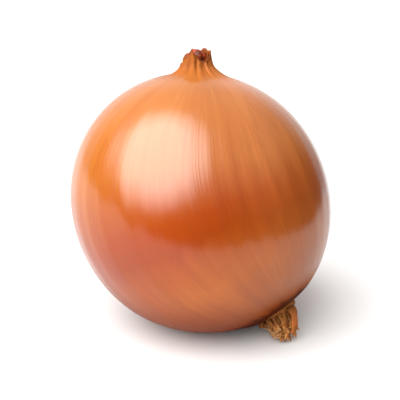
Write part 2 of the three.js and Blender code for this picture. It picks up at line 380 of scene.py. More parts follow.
def finish_mesh(piece):
    """Merges what coincides, points the faces outwards and leaves edit mode."""
    bpy.ops.mesh.select_all(action="SELECT")
    bpy.ops.mesh.remove_doubles(threshold=MERGE_DISTANCE)
    bpy.ops.mesh.normals_make_consistent(inside=False)
    bpy.ops.object.mode_set(mode="OBJECT")
    bpy.ops.object.shade_smooth()
    print(piece.name, "has", len(piece.data.vertices), "vertices")


# %% Helpers for whole pieces


def build_rod(name, sides, centres, radii):
    """A closed rod: a filled ring, extruded through centres and closed at its end."""
    piece = start_ring(name, sides, radii[0], location=centres[0], fill_type="TRIFAN")
    select_vertices(piece, lambda place: (place - centres[0]).length > radii[0] / 2)
    extrude_through(centres, radii)
    close_ring()
    finish_mesh(piece)
    return piece


def add_modifier(piece, kind, **settings):
    """Adds a modifier with its settings and applies it."""
    bpy.context.view_layer.objects.active = piece
    modifier = piece.modifiers.new(kind.lower(), kind)
    for name, setting in settings.items():
        setattr(modifier, name, setting)
    bpy.ops.object.modifier_apply(modifier=modifier.name)


def crumple(piece, grain, height):
    """Pushes the surface in and out by a cloudy pattern, as dry tissue shrinks."""
    clouds = bpy.data.textures.new(piece.name + "_crumple", "CLOUDS")
    clouds.noise_scale = grain
    add_modifier(piece, "DISPLACE", texture=clouds, strength=height, mid_level=0.5)


def place_piece(piece, turn, place):
    """Turns and moves a piece that was modelled upright at the origin, in its mesh."""
    bpy.ops.object.select_all(action="DESELECT")
    piece.select_set(True)
    bpy.context.view_layer.objects.active = piece
    piece.rotation_mode = "QUATERNION"
    piece.rotation_quaternion = turn
    piece.location = place
    bpy.ops.object.transform_apply(location=True, rotation=True)
    print(piece.name, "spans", [round(side / MM, 1) for side in piece.dimensions], "mm")


def join_pieces(name, pieces):
    """Joins pieces into one mesh."""
    bpy.ops.object.select_all(action="DESELECT")
    for piece in pieces:
        piece.select_set(True)
    bpy.context.view_layer.objects.active = pieces[0]
    bpy.ops.object.join()
    pieces[0].name = name
    return pieces[0]


# %% Helpers for vertices and curves


def read_places(piece):
    """The vertices of a mesh as rows of x, y and z."""
    places = np.empty(3 * len(piece.data.vertices), np.float32)
    piece.data.vertices.foreach_get("co", places)
    return places.reshape(-1, 3).astype(float)


def write_places(piece, places):
    """Moves the vertices of a mesh to rows of x, y and z."""
    piece.data.vertices.foreach_set("co", places.astype(np.float32).ravel())
    piece.data.update()


def write_attribute(piece, name, values):
    """Keeps a number or a vector for each vertex, for the shader to read."""
    values = np.asarray(values, np.float32)
    kind, key = ("FLOAT_VECTOR", "vector") if values.ndim == 2 else ("FLOAT", "value")
    attribute = piece.data.attributes.new(name, kind, "POINT")
    attribute.data.foreach_set(key, values.ravel())


def polar(places):
    """Distance from the vertical axis and turn round it, in radians, of each place."""
    return np.hypot(places[:, 0], places[:, 1]), np.arctan2(places[:, 1], places[:, 0])


def quadratic(start, bend, end, share):
    """A point on the curve from start to end that a bend point pulls towards itself."""
    return start * (1 - share) ** 2 + bend * 2 * share * (1 - share) + end * share**2


def curve_points(start, bend, end, steps):
    """Points along that curve, both ends included."""
    return [quadratic(start, bend, end, step / steps) for step in range(steps + 1)]


def smoothstep(value, start, end):
    """Rises smoothly from 0 at start to 1 at end."""
    share = np.clip((value - start) / (end - start), 0, 1)
    return share * share * (3 - 2 * share)


# %% [markdown]
# ## The bulb
# The bulb is nearly a ball. A ready-made sphere has no collar and no dimple, so a side view is drawn and
# spun instead. It starts as a circle, cut down to the half on one side of the axis. Its two ends are
# extruded: up into the collar that the neck grows from, and in to the dimple that holds the roots. Spinning
# gives meridians that run from the roots to the neck, and the fibres of a real onion run the same way.

# %% Side view of the bulb
BULB_RADIUS = 36.9 * MM
SHOULDER_ANGLE = 15
SHOULDER_RUN = 3.8 * MM
COLLAR_RADIUS = 4.5 * MM
COLLAR_RISE = 1.9 * MM
RIM_ANGLE = 168.75
RIM_RUN = 0.8 * MM
DIMPLE_RADIUS = 6.2 * MM
DIMPLE_DEPTH = 2 * MM


def body_point(degrees):
    """Place on the ball's side view at an angle from the neck."""
    angle = math.radians(degrees)
    return Vector((math.sin(angle), 0, math.cos(angle))) * BULB_RADIUS


def body_tangent(degrees):
    """Along the ball at that angle, towards the neck."""
    angle = math.radians(degrees)
    return Vector((-math.cos(angle), 0, math.sin(angle)))


collar_top = BULB_RADIUS + COLLAR_RISE
dimple_floor = BULB_RADIUS - DIMPLE_DEPTH
shoulder = body_point(SHOULDER_ANGLE)
shoulder_bend = shoulder + body_tangent(SHOULDER_ANGLE) * SHOULDER_RUN
collar = Vector((COLLAR_RADIUS, 0, collar_top))
rim = body_point(RIM_ANGLE)
rim_bend = rim - body_tangent(RIM_ANGLE) * RIM_RUN
dimple_foot = Vector((DIMPLE_RADIUS, 0, -dimple_floor))
print("shoulder", shoulder, "rim", rim)

# %% Extrude its ends and spin it
PARALLELS = 288
MERIDIANS = 256
END_STEPS = 10
TINY = 0.01 * MM


def off_the_body(place):
    """Whether a vertex of the circle is past the axis, the shoulder or the rim."""
    return place.x < TINY or not rim.z - TINY < place.z < shoulder.z + TINY


def extrude_end(piece, points):
    """Extrudes one end of the side view through points, the last one on the axis."""
    select_vertices(piece, lambda place: (place - points[0]).length < TINY)
    extrude_through(points)


bulb = start_ring("bulb_skin", PARALLELS, BULB_RADIUS, rotation=(math.pi / 2, 0, 0))
select_vertices(bulb, off_the_body)
bpy.ops.mesh.delete(type="VERT")
extrude_end(bulb, curve_points(shoulder, shoulder_bend, collar, END_STEPS) + [UP * collar_top])
extrude_end(bulb, curve_points(rim, rim_bend, dimple_foot, END_STEPS) + [DOWN * dimple_floor])
bpy.ops.mesh.select_all(action="SELECT")
bpy.ops.mesh.spin(steps=MERIDIANS, angle=2 * math.pi, center=(0, 0, 0), axis=(0, 0, 1))
finish_mesh(bulb)

# %% [markdown]
# A ball is only the start. The rings now lean, from square to the neck at one end to square to the roots
# at the other, and the body is pulled out along the root axis and pressed flat where it rests. A rule does
# this, as the solid onion does it, because no brush would land on the same shape.

# %% Lean, stretch and settle the bulb
# Spans are degrees from the neck.
ROOT_STRETCH = 0.07
SETTLE = 0.07
SETTLE_FOCUS = 10
NECK_SINK = 0.016
SINK_FOCUS = 6
LEAN_SPAN = (12, 168)
NECK_END = (7, 16)
ROOT_END = (160, 170)


def reach(directions):
    """How far the bulb reaches in each direction, as a share of its radius."""
    along_root = directions @ np.array(root_direction)
    underneath = np.maximum(0, directions @ np.array(settle_direction))
    on_top = np.maximum(0, directions @ np.array(neck_direction))
    stretch = 1 + ROOT_STRETCH * along_root**2
    return stretch * (1 - SETTLE * underneath**SETTLE_FOCUS) * (1 - NECK_SINK * on_top**SINK_FOCUS)


def reach_along(direction):
    """The reach in one direction."""
    return float(reach(np.array([direction]))[0])


def lean_rings(places, neck_share):
    """Turns each place from the lean of the root end towards that of the neck by its share."""
    axis, angle = (root_turn.inverted() @ neck_turn).to_axis_angle()
    turn = (neck_share * angle)[:, None]
    axis = np.array(axis)
    turned = places * np.cos(turn) + np.cross(axis, places) * np.sin(turn)
    turned += axis * (places @ axis)[:, None] * (1 - np.cos(turn))
    return turned @ np.array(root_turn.to_matrix()).T


neck_reach = reach_along(neck_direction)
root_reach = reach_along(root_direction)
print("reach at the neck", round(neck_reach, 3), "and at the roots", round(root_reach, 3))

# %% [markdown]
# The skin isn't smooth either. It is gathered into pleats at the neck, the fibres of the scale below raise
# low ribs all the way down, and where the outermost scale has split its edge stands a hair above the next
# one. A bump in the shader could suggest them, but these are real changes of shape, so they go into the
# mesh: they make the highlights waver.

# %% Pleats, ribs and splits in the skin
# A wave round the axis has a count, a height and a turn. A split has a start and a sweep in degrees, and a
# thickness.
PLEATS = [(14, 0.25 * MM, 0.0), (23, 0.10 * MM, 1.3), (37, 0.06 * MM, 4.0)]
PLEAT_FADE = (6, 20)
LOBES = [(3, 0.004, 1.1), (5, 0.003, 2.3)]
RIB_COUNTS = range(17, 45, 3)
RIB_HEIGHT = 0.014 * MM
RIB_SEED = 5
SPLITS = [(-64, 22, 0.16 * MM), (148, -30, 0.2 * MM)]
SPLIT_WIDTH = 0.7
SPLIT_FADE = 24

rib_random = random.Random(RIB_SEED)
RIBS = [(count, RIB_HEIGHT, rib_random.uniform(0, 2 * math.pi)) for count in RIB_COUNTS]


def waves(along, rows):
    """A sum of waves round the axis."""
    return sum(height * np.cos(count * along + turn) for count, height, turn in rows)


def turn_apart(along, degrees):
    """Degrees from a heading to each turn round the axis, between -180 and 180."""
    return (np.degrees(along) - degrees + 180) % 360 - 180


def skin_relief(along, from_neck):
    """Height of the ribs and of the splits, which slant as they run to the roots."""
    relief = waves(along, RIBS)
    for start, sweep, thickness in SPLITS:
        offset = turn_apart(along, start + sweep * from_neck / 180)
        edge = smoothstep(offset, -SPLIT_WIDTH, SPLIT_WIDTH)
        relief = relief + thickness * edge * np.exp(-np.maximum(offset, 0) / SPLIT_FADE)
    return relief


print(len(PLEATS), "rows of pleats,", len(RIBS), "rows of ribs and", len(SPLITS), "splits")

# %% Shape the bulb
# Each vertex first keeps its place on the ball: that is how the shader will know which way the fibres run.


def shape_bulb(places):
    """Takes places on the ball to places on the onion."""
    across, along = polar(places)
    from_neck = np.degrees(np.arctan2(across, places[:, 2]))
    gather = 1 - smoothstep(from_neck, *PLEAT_FADE)
    places[:, :2] *= (1 + waves(along, PLEATS) * gather / np.maximum(across, COLLAR_RADIUS))[:, None]
    places = lean_rings(places, 1 - smoothstep(from_neck, *LEAN_SPAN))
    outward = places / np.linalg.norm(places, axis=1)[:, None]
    size = neck_reach + (reach(outward) - neck_reach) * smoothstep(from_neck, *NECK_END)
    size += (root_reach - size) * smoothstep(from_neck, *ROOT_END)
    swell = np.sin(np.radians(from_neck)) ** 2
    size += waves(along, LOBES) * swell
    relief = skin_relief(along, from_neck) * swell
    places = places * size[:, None] + outward * relief[:, None] + np.array(bulb_centre)
    places[:, 2] = np.maximum(places[:, 2], 0)
    return places


ball = read_places(bulb)
ball_across, ball_along = polar(ball)
ball_from_neck = np.arctan2(ball_across, ball[:, 2]) / math.pi
skin_place = np.column_stack([np.cos(ball_along), np.sin(ball_along), ball_from_neck])
write_attribute(bulb, "skin_place", skin_place)
write_places(bulb, shape_bulb(ball))
print("bulb spans", [round(side / MM, 1) for side in bulb.dimensions], "mm")

# %% [markdown]
# ## The skin's finish
# Onion skin is golden near the neck and coppery round the middle, duller underneath, with darker fibres that
# run from end to end. Painted shade makes it darker and redder low down, near the table, and dark brown in
# the crevice round the roots; painted light makes one side lighter and yellower. A picture wrapped round it
# would
# have a seam. Noise has none: the shader reads the place on the ball that each vertex kept and stretches the
# noise along the fibres, so the streaks gather at both ends.

# %% Colours of the skin
# The stops run from the neck, at 0, to the roots, at 1.
OCHRE = (0.20, 0.055, 0.005, 1)
GOLD = (0.245, 0.080, 0.014, 1)
ORANGE = (0.245, 0.070, 0.009, 1)
COPPER = (0.212, 0.030, 0.002, 1)
TAN = (0.37, 0.085, 0.006, 1)
HONEY = (0.42, 0.13, 0.03, 1)
RUSSET = (0.17, 0.025, 0.003, 1)
DARK_BROWN = (0.075, 0.012, 0.002, 1)
SKIN_STOPS = [
    (0.02, OCHRE),
    (0.10, GOLD),
    (0.20, GOLD),
    (0.38, ORANGE),
    (0.51, COPPER),
    (0.57, COPPER),
    (0.70, TAN),
    (0.86, TAN),
    (0.95, RUSSET),
]
print(len(SKIN_STOPS), "colours from the neck to the roots")

# %% Patterns in the skin
# A noise has its stretch along each axis, its detail and its roughness. A stain has the span of its pattern
# that it fades in over, its share and its colour.
STREAKS = ((6, 6, 1.2), 5, 0.6)
FINE_LINES = ((22, 22, 1.5), 3, 0.6)
PATCHES = ((2.4, 2.4, 2.0), 4, 0.5)
BLOTCHES = ((40, 40, 40), 4, 0.55)
FIBRE_SHARPNESS = 10
BLOTCH_SHIFT = 0.08
STREAK_SHIFT = 0.10
# One side of the bulb is painted lighter and yellower: painted light, as if more light fell on that side.
PAINTED_LIGHT_SIDE = ((0.1, 0.9), 0.35, HONEY)
RUSSET_PATCHES = ((0.50, 0.53), 0.14, RUSSET)
RUSSET_STREAKS = ((0.52, 0.75), 0.16, RUSSET)
HONEY_STREAKS = ((0.48, 0.25), 0.10, HONEY)
FIBRE_SHARE = 0.20
# Below these heights the skin is painted darker and redder, as painted shade near the table; the same heights
# make it duller.
UNDERSIDE = (23 * MM, 7 * MM)
UNDERSIDE_SHADE_SHARE = 0.75
# Dark brown round the roots is painted shade in the crevice between the skin and the root plate, spread
# further on the left of the roots.
CREVICE_SHADE = ((0.874, 0.908), 1.0, DARK_BROWN)
CREVICE_FRAY = 0.06
CREVICE_LEFT = (-0.3, 1.0)
CREVICE_SPREAD = 0.018


def level(vector):
    """A vector without its height."""
    return Vector((vector.x, vector.y, 0))


left_of_roots = level(root_turn.inverted() @ heading(180)).normalized()


def skin_patterns(finish):
    """The skin's colour, and the patterns that its relief and its gloss follow too."""
    place = finish.attribute("skin_place", "Vector")
    solid = finish.add("TexCoord", {}, {}, "Object")
    from_neck = finish.part(place, "Z")
    streaks = finish.noise(place, *STREAKS)
    patches = finish.noise(place, *PATCHES)
    blotches = finish.noise(solid, *BLOTCHES)
    fibres = (1 - abs(finish.noise(place, *FINE_LINES) * 2 - 1)) ** FIBRE_SHARPNESS
    along = from_neck + (blotches - 0.5) * BLOTCH_SHIFT + (streaks - 0.5) * STREAK_SHIFT
    colour = finish.add("ValToRGB", {"stops": SKIN_STOPS}, {"Fac": along})
    # Painted light: one side lighter and yellower.
    colour = finish.stain(colour, finish.part(place, "X"), *PAINTED_LIGHT_SIDE)
    colour = finish.stain(colour, patches, *RUSSET_PATCHES)
    colour = finish.stain(colour, streaks, *RUSSET_STREAKS)
    colour = finish.stain(colour, streaks, *HONEY_STREAKS)
    colour = finish.mix(fibres * FIBRE_SHARE, colour, RUSSET)
    # Painted shade: darker and redder towards the bottom of the bulb.
    underside = finish.step(finish.part(solid, "Z"), *UNDERSIDE)
    colour = finish.mix(underside * UNDERSIDE_SHADE_SHARE, colour, RUSSET)
    # Painted shade in the crevice round the roots.
    spread = finish.step(finish.dot(place, left_of_roots), *CREVICE_LEFT) * CREVICE_SPREAD
    colour = finish.stain(colour, from_neck + (streaks - 0.5) * CREVICE_FRAY + spread, *CREVICE_SHADE)
    return {
        "place": place,
        "from_neck": from_neck,
        "colour": colour,
        "fibres": fibres,
        "blotches": blotches,
        "underside": underside,
    }


# %% Golden, coppery skin
WRINKLES = ((30, 30, 18), 3, 0.5)
WRINKLE_HEIGHT = 0.25
FIBRE_HEIGHT = 0.5
SKIN_BUMP = (0.25, 0.1 * MM)
SKIN_ROUGHNESS = 0.12
BLOTCH_ROUGHNESS = 0.12
FIBRE_ROUGHNESS = 0.05
NECK_MATT = (0.13, 0.04)
NECK_MATT_SHARE = 0.85
ROOT_MATT = (0.80, 0.90)
UNDERSIDE_MATT = 0.6
MATT_ROUGHNESS = 0.7
MATT_SPECULAR = 0.04


def two_glosses(finish, colour, bump, roughness, matt_share):
    """Glossy skin that turns matt where it has dried out."""
    inputs = {"Base Color": colour, "Normal": bump}
    glossy = finish.add("BsdfPrincipled", {}, {**inputs, "Roughness": roughness})
    dull = {"Roughness": MATT_ROUGHNESS, "Specular IOR Level": MATT_SPECULAR}
    matt = finish.add("BsdfPrincipled", {}, {**inputs, **dull})
    surface = finish.add("MixShader", {}, {0: matt_share, 1: glossy, 2: matt})
    finish.add("OutputMaterial", {}, {"Surface": surface})


def skin_material():
    """Glossy skin, matt at both ends and duller underneath."""
    material, finish = new_finish("onion_skin")
    skin = skin_patterns(finish)
    wrinkles = finish.noise(skin["place"], *WRINKLES)
    bump = finish.bump(skin["fibres"] * FIBRE_HEIGHT + wrinkles * WRINKLE_HEIGHT, *SKIN_BUMP)
    roughness = SKIN_ROUGHNESS + skin["blotches"] * BLOTCH_ROUGHNESS + skin["fibres"] * FIBRE_ROUGHNESS
    neck_matt = finish.step(skin["from_neck"], *NECK_MATT) * NECK_MATT_SHARE
    dry_ends = neck_matt + finish.step(skin["from_neck"], *ROOT_MATT)
    matt_share = dry_ends + (1 - dry_ends) * skin["underside"] * UNDERSIDE_MATT
    two_glosses(finish, skin["colour"], bump, roughness, matt_share)
    print(material.name, "has", len(material.node_tree.nodes), "nodes")
    return material


bulb.data.materials.append(skin_material())
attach(bulb, "root")
onion_only.objects.link(bulb)
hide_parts("bulb")

# %% [markdown]
# ## The neck
# The neck is what is left of the leaves. The outermost is a papery tube that rises out of the skin, torn low
# at the front right and at the left, and a second torn tube stands inside it. The edge could be cut with a
# knife, but that leaves a ragged mesh. Here a ring is extruded up the collar and on above it, and a rule then
# lowers the top edge into tears and teeth. Solidify gives the paper its thickness.

# %% A rule for torn sheaths
# A tear has a heading, a depth and a width in degrees.
SHEATH_FLOOR = 0.7 * MM
TEETH = [(7, 0.30 * MM, 0.0), (13, 0.18 * MM, 0.7), (29, 0.09 * MM, 2.1), (47, 0.05 * MM, 4.4)]
PUCKERS = [(7, 0.15 * MM, 0.0), (12, 0.10 * MM, 1.9)]


def tear_height(along, height, tears):
    """Height of the torn edge round a sheath."""
    edge = height + waves(along, TEETH)
    for middle, depth, width in tears:
        edge = edge - depth * np.exp(-((turn_apart(along, middle) / width) ** 2))
    return edge


def tear_sheath(piece, height, tears, dry_depth):
    """Lowers the top of an upright tube to its torn edge, puckers it, and notes how dry it is."""
    places = read_places(piece)
    across, along = polar(places)
    share = np.clip((places[:, 2] - SHEATH_FLOOR) / (height - SHEATH_FLOOR), 0, 1)
    edge = tear_height(along, height, tears)
    fold = waves(along, PLEATS) * (1 - share) + waves(along, PUCKERS) * share
    places[:, :2] *= (1 + fold / across)[:, None]
    places[:, 2] += share * (edge - height)
    write_places(piece, places)
    write_attribute(piece, "dryness", 1 - smoothstep(edge - places[:, 2], 0, dry_depth))
    write_attribute(piece, "skin_place", np.column_stack([np.cos(along), np.sin(along), 0 * along]))


# %% The torn sheaths
SEAT_GAP = 0.3 * MM
SHEATH_SEGMENTS = 144
SHEATH_STEPS = 10
SHEATH_HEIGHT = 4.1 * MM
SHEATH_WAIST = 4.1 * MM
SHEATH_TEARS = [(-52, 3.3 * MM, 38), (-178, 3.2 * MM, 42)]
SHEATH_DRY = 1.5 * MM
SHEATH_CRUMPLE = (1.2 * MM, 0.12 * MM)
PAPER = 0.3 * MM
FOOT_SHARES = (0.6, 0.7, 0.8, 0.9, 1.0)
FOOT_INSET = 0.25 * MM
FOOT_EASE = 0.08 * MM
INNER_HEIGHT = 4.2 * MM
INNER_BEND = 2 * MM
INNER_RADII = (3.6 * MM, 3.5 * MM, 3.3 * MM)
INNER_TEARS = [(-70, 4 * MM, 60), (-178, 3 * MM, 45)]

neck_seat = collar_top * neck_reach + SEAT_GAP


def ring(radius, height):
    """A ring round the axis, as a point of its side view."""
    return Vector((radius, 0, height))


def centres_and_radii(rings):
    """Splits rings into their centres on the axis and their radii."""
    return [UP * point.z for point in rings], [point.x for point in rings]


def build_sheath(name, rings, height, tears, dry_depth):
    """A torn paper tube, from its rings."""
    centres, radii = centres_and_radii(rings)
    piece = start_ring(name, SHEATH_SEGMENTS, radii[0], location=centres[0])
    extrude_through(centres, radii)
    finish_mesh(piece)
    tear_sheath(piece, height, tears, dry_depth)
    add_modifier(piece, "SOLIDIFY", thickness=PAPER, offset=-1)
    crumple(piece, *SHEATH_CRUMPLE)
    return piece


foot = []
for number, share in enumerate(FOOT_SHARES):
    on_collar = quadratic(shoulder, shoulder_bend, collar, share) * neck_reach
    foot.append(on_collar - ring(FOOT_INSET - FOOT_EASE * number, neck_seat))
waist = ring(SHEATH_WAIST, SHEATH_FLOOR)
stem = curve_points(foot[-1], waist, ring(SHEATH_WAIST, SHEATH_HEIGHT), SHEATH_STEPS)
outer_sheath = build_sheath("outer_sheath", foot[:-1] + stem, SHEATH_HEIGHT, SHEATH_TEARS, SHEATH_DRY)
inner_ends = zip(INNER_RADII, (0, INNER_BEND, INNER_HEIGHT))
inner_rings = curve_points(*[ring(radius, height) for radius, height in inner_ends], SHEATH_STEPS)
inner_sheath = build_sheath("inner_sheath", inner_rings, INNER_HEIGHT, INNER_TEARS, math.inf)

# %% [markdown]
# Inside the sheaths the youngest leaves have dried to dark, shrivelled stubs. They could be sculpted one by
# one, but they are all alike: a ring extruded along a bent line, closed at the top and crumpled. One function
# makes each of the four, with its own heading and height.

# %% The shrivelled leaf ends
LEAF_COUNT = 4
LEAF_RADIUS = 1.45 * MM
LEAF_RING = 1.75 * MM
LEAF_HEIGHT = 4.4 * MM
LEAF_SHORT = 0.85
LEAF_BELLY = 1.1
LEAF_CLOSING = 0.8
LEAF_FIRST = -75
LEAF_STEPS = 9
LEAF_SIDES = 24
LEAF_TAPER = 0.94
LEAF_FULLNESS = 5
LEAF_CRUMPLE = (0.9 * MM, 0.55 * MM)
LEAF_DRYNESS = 2.0


def leaf_radius(share):
    """Nearly full for most of the way up, then rounded off."""
    return LEAF_RADIUS * math.sqrt(1 - LEAF_TAPER * share**LEAF_FULLNESS)


def build_leaf_end(number):
    """One dried leaf end, standing in the sheath."""
    foot_place = heading(LEAF_FIRST + 360 / LEAF_COUNT * number) * LEAF_RING
    height = LEAF_HEIGHT * (LEAF_SHORT if number % 2 else 1)
    bend = foot_place * LEAF_BELLY + UP * height / 2
    end = foot_place * LEAF_CLOSING + UP * height
    centres = curve_points(foot_place, bend, end, LEAF_STEPS)
    radii = [leaf_radius(step / LEAF_STEPS) for step in range(LEAF_STEPS + 1)]
    piece = build_rod(f"leaf_end_{number}", LEAF_SIDES, centres, radii)
    add_modifier(piece, "SUBSURF", levels=1, render_levels=1)
    crumple(piece, *LEAF_CRUMPLE)
    write_attribute(piece, "dryness", np.full(len(piece.data.vertices), LEAF_DRYNESS))
    return piece


leaf_ends = [build_leaf_end(number) for number in range(LEAF_COUNT)]
neck = join_pieces("neck_stub", [outer_sheath, inner_sheath, *leaf_ends])
place_piece(neck, neck_turn, bulb_centre + neck_direction * neck_seat)

# %% [markdown]
# The sheath is the same tissue as the skin, so its foot takes the skin's colour, with the painted light on
# one side, and only its torn edge turns brown. The stubs inside are a dark red brown, with a little gloss.
# One finish for all of them is simplest, because the dryness that each vertex keeps tells them apart.

# %% Dried neck
EDGE_BROWN = (0.15, 0.036, 0.007, 1)
STUB_RED = (0.25, 0.030, 0.004, 1)
STUB_DARK = (0.045, 0.008, 0.002, 1)
GRAIN = ((900, 900, 900), 4, 0.6)
EDGE_FRAY = 0.6
BROWN_EDGE = ((0.25, 0.9), 1.0, EDGE_BROWN)
STUB_GRAIN = ((0.35, 0.65), 1.0, STUB_RED)
STUB_SPAN = (1.2, 1.8)
NECK_FIBRE_HEIGHT = 0.3
NECK_BUMP = (0.4, 0.2 * MM)
NECK_ROUGHNESS = 0.2
GRAIN_ROUGHNESS = 0.2
SHEATH_MATT = 0.85
STUB_GLOSS = 0.25


def neck_material():
    """Skin that browns at the torn edge, round dark red stubs."""
    material, finish = new_finish("dried_neck")
    skin = skin_patterns(finish)
    dryness = finish.attribute("dryness")
    grain = finish.noise(finish.add("TexCoord", {}, {}, "Object"), *GRAIN)
    sheath = finish.stain(skin["colour"], dryness + (grain - 0.5) * EDGE_FRAY, *BROWN_EDGE)
    stub = finish.stain(STUB_DARK, grain, *STUB_GRAIN)
    inside = finish.step(dryness, *STUB_SPAN)
    colour = finish.mix(inside, sheath, stub)
    bump = finish.bump(grain + skin["fibres"] * NECK_FIBRE_HEIGHT, *NECK_BUMP)
    roughness = NECK_ROUGHNESS + grain * GRAIN_ROUGHNESS
    two_glosses(finish, colour, bump, roughness, SHEATH_MATT - inside * STUB_GLOSS)
    print(material.name, "has", len(material.node_tree.nodes), "nodes")
    return material


neck.data.materials.append(neck_material())
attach(neck, "root")
onion_only.objects.link(neck)
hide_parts("neck")

# %% [markdown]
# ## The roots
# A hard plate fills the dimple, and dry roots grow out of it, bend and gather in a drooping tuft. The plate
# is a ring extruded up and in to a low dome, then frayed at the edge and tilted.

# %% The root plate
PLATE_RADIUS = 6.5 * MM
PLATE_HEIGHT = 2.2 * MM
PLATE_EDGE = 1 * MM
PLATE_TILT = 0.2
PLATE_SHIFT = -0.9 * MM
PLATE_SIDES = 72
DOME_STEPS = 8
RAGGED_EDGE = [(5, 0.25 * MM, 0.4), (11, 0.18 * MM, 2.0), (23, 0.12 * MM, 5.1)]
PLATE_CRUMPLE = (1.5 * MM, 0.7 * MM)
PLATE_GRAIN = 700
PLATE_TONE = 0.5

root_seat = dimple_floor * root_reach + SEAT_GAP
into_tuft = tuft_turn.inverted()
right_in_plate = level(into_tuft @ heading(0)).normalized()
plate_normal = (UP - right_in_plate * PLATE_TILT).normalized()
plate_shift = right_in_plate * PLATE_SHIFT


def shape_plate(places):
    """Frays the plate's edge and slopes its face, and leaves its back square to the root axis."""
    across, along = polar(places)
    ragged = waves(along, RAGGED_EDGE) * (across / PLATE_RADIUS) ** 2
    places[:, :2] *= (1 + ragged / np.maximum(across, PLATE_EDGE))[:, None]
    slope = places @ np.array(right_in_plate)
    places[:, 2] += PLATE_TILT * slope * places[:, 2] / PLATE_HEIGHT
    return places


dome_start = ring(PLATE_RADIUS, PLATE_HEIGHT / 3)
dome_bend = ring(PLATE_RADIUS, PLATE_HEIGHT)
dome = curve_points(dome_start, dome_bend, ring(PLATE_RADIUS / 2, PLATE_HEIGHT), DOME_STEPS)
plate_rings = [ring(PLATE_RADIUS, 0), *dome, ring(PLATE_RADIUS / 4, PLATE_HEIGHT)]
plate = build_rod("root_plate", PLATE_SIDES, *centres_and_radii(plate_rings))
plate_places = shape_plate(read_places(plate))
write_places(plate, plate_places + np.array(plate_shift))
crumple(plate, *PLATE_CRUMPLE)
write_attribute(plate, "strand_place", read_places(plate) * PLATE_GRAIN)
write_attribute(plate, "tone", np.full(len(plate_places), PLATE_TONE))
write_attribute(plate, "from_plate", np.clip(plate_places[:, 2] / PLATE_HEIGHT, 0, 1))

# %% [markdown]
# The roots are dry, flat strands, bleached pale on the left of the tuft. Hair particles could grow them, but
# particles aren't a mesh. So one strand is modelled once, as a straight many-sided rod, and each root is a
# copy of it that a rule lays along its own curve. The roots take the same random numbers as the solid tuft,
# so that the two lie alike.

# %% A strand to copy
STRAND_SIDES = 8
STRAND_STEPS = 14
STRAND_TAPER = 0.5
STRAND_SWELL = 0.15
SWELL_WAVES = (7, 15)
WOBBLE = 0.45 * MM
WOBBLE_WAVES = (4, 9)
WAVE_STARTS = (0, 6)
HALF_THICKNESS = 0.42 * MM
STRAND_GRAIN = (1.5, 1.5, 3)
TONE_GRAIN = np.array((20, 0, 50))
HAIR_SEED = 3

strand_line = [UP * step / STRAND_STEPS for step in range(STRAND_STEPS + 1)]
strand = build_rod("strand", STRAND_SIDES, strand_line, [1] * len(strand_line))
rod = read_places(strand)
shake = random.Random(HAIR_SEED)


def random_wave(share, counts):
    """A wave along a strand, with a random count and start."""
    return np.sin(shake.uniform(*counts) * share + shake.uniform(*WAVE_STARTS))


def lay_strand(line, half_width, tone):
    """A copy of the rod, laid along a line with its broad side round the plate."""
    start, bend, tip = (np.array(point) for point in line)
    share = rod[:, 2:3]
    middle = quadratic(start, bend, tip, share)
    tangent = (bend - start) * (1 - share) + (tip - bend) * share
    tangent /= np.linalg.norm(tangent, axis=1)[:, None]
    across = np.cross((0, 0, 1), start)
    side = across - tangent * (tangent @ across)[:, None]
    side /= np.linalg.norm(side, axis=1)[:, None]
    through = np.cross(tangent, side)
    size = 1 + (STRAND_TAPER - 1) * share + STRAND_SWELL * random_wave(share, SWELL_WAVES)
    middle += side * WOBBLE * random_wave(share, WOBBLE_WAVES) * share
    middle += through * WOBBLE * random_wave(share, WOBBLE_WAVES) * share
    thickness = min(half_width, HALF_THICKNESS)
    places = middle + side * size * half_width * rod[:, 0:1] + through * size * thickness * rod[:, 1:2]
    piece = bpy.data.objects.new("root", strand.data.copy())
    bpy.context.scene.collection.objects.link(piece)
    write_places(piece, places)
    write_attribute(piece, "strand_place", rod * STRAND_GRAIN + TONE_GRAIN * tone)
    write_attribute(piece, "tone", np.full(len(rod), tone))
    write_attribute(piece, "from_plate", rod[:, 2])
    return piece


# %% The lines that roots follow
ROOT_RING = 4.4 * MM
ROOT_HALF_WIDTH = 0.5 * MM
ROOT_RISE = 4.5 * MM
ROOT_SPLAY = 1 * MM
ROOT_CLEARANCE = 0.4 * MM
SHORTEST_ROOT = 0.65
OUTER_ROOT = 0.8
TUFT_LENGTH = 12.5 * MM
TUFT_FROM_DOWN = 58
TUFT_HEADING = -71
TUFT_GATHER = 0.42
TUFT_CURL = 1.6 * MM
DRAW_FACTOR = 1664525
DRAW_STEP = 1013904223
DRAW_RANGE = 2**32

tuft_tip = into_tuft @ leaning(DOWN, TUFT_FROM_DOWN, TUFT_HEADING) * TUFT_LENGTH
tuft_up = into_tuft @ UP
seat_height = root_seat * root_direction.z + CENTRE_HEIGHT


def seeded_draws(seed):
    """The row of random numbers that the solid tuft grows from."""
    state = seed
    while True:
        state = (state * DRAW_FACTOR + DRAW_STEP) % DRAW_RANGE
        yield state / DRAW_RANGE


def keep_above_table(point):
    """Lifts a point of the tuft that would lie too near the table."""
    short = ROOT_HALF_WIDTH + ROOT_CLEARANCE - (point.dot(tuft_up) + seat_height)
    return point + tuft_up * max(0, short)


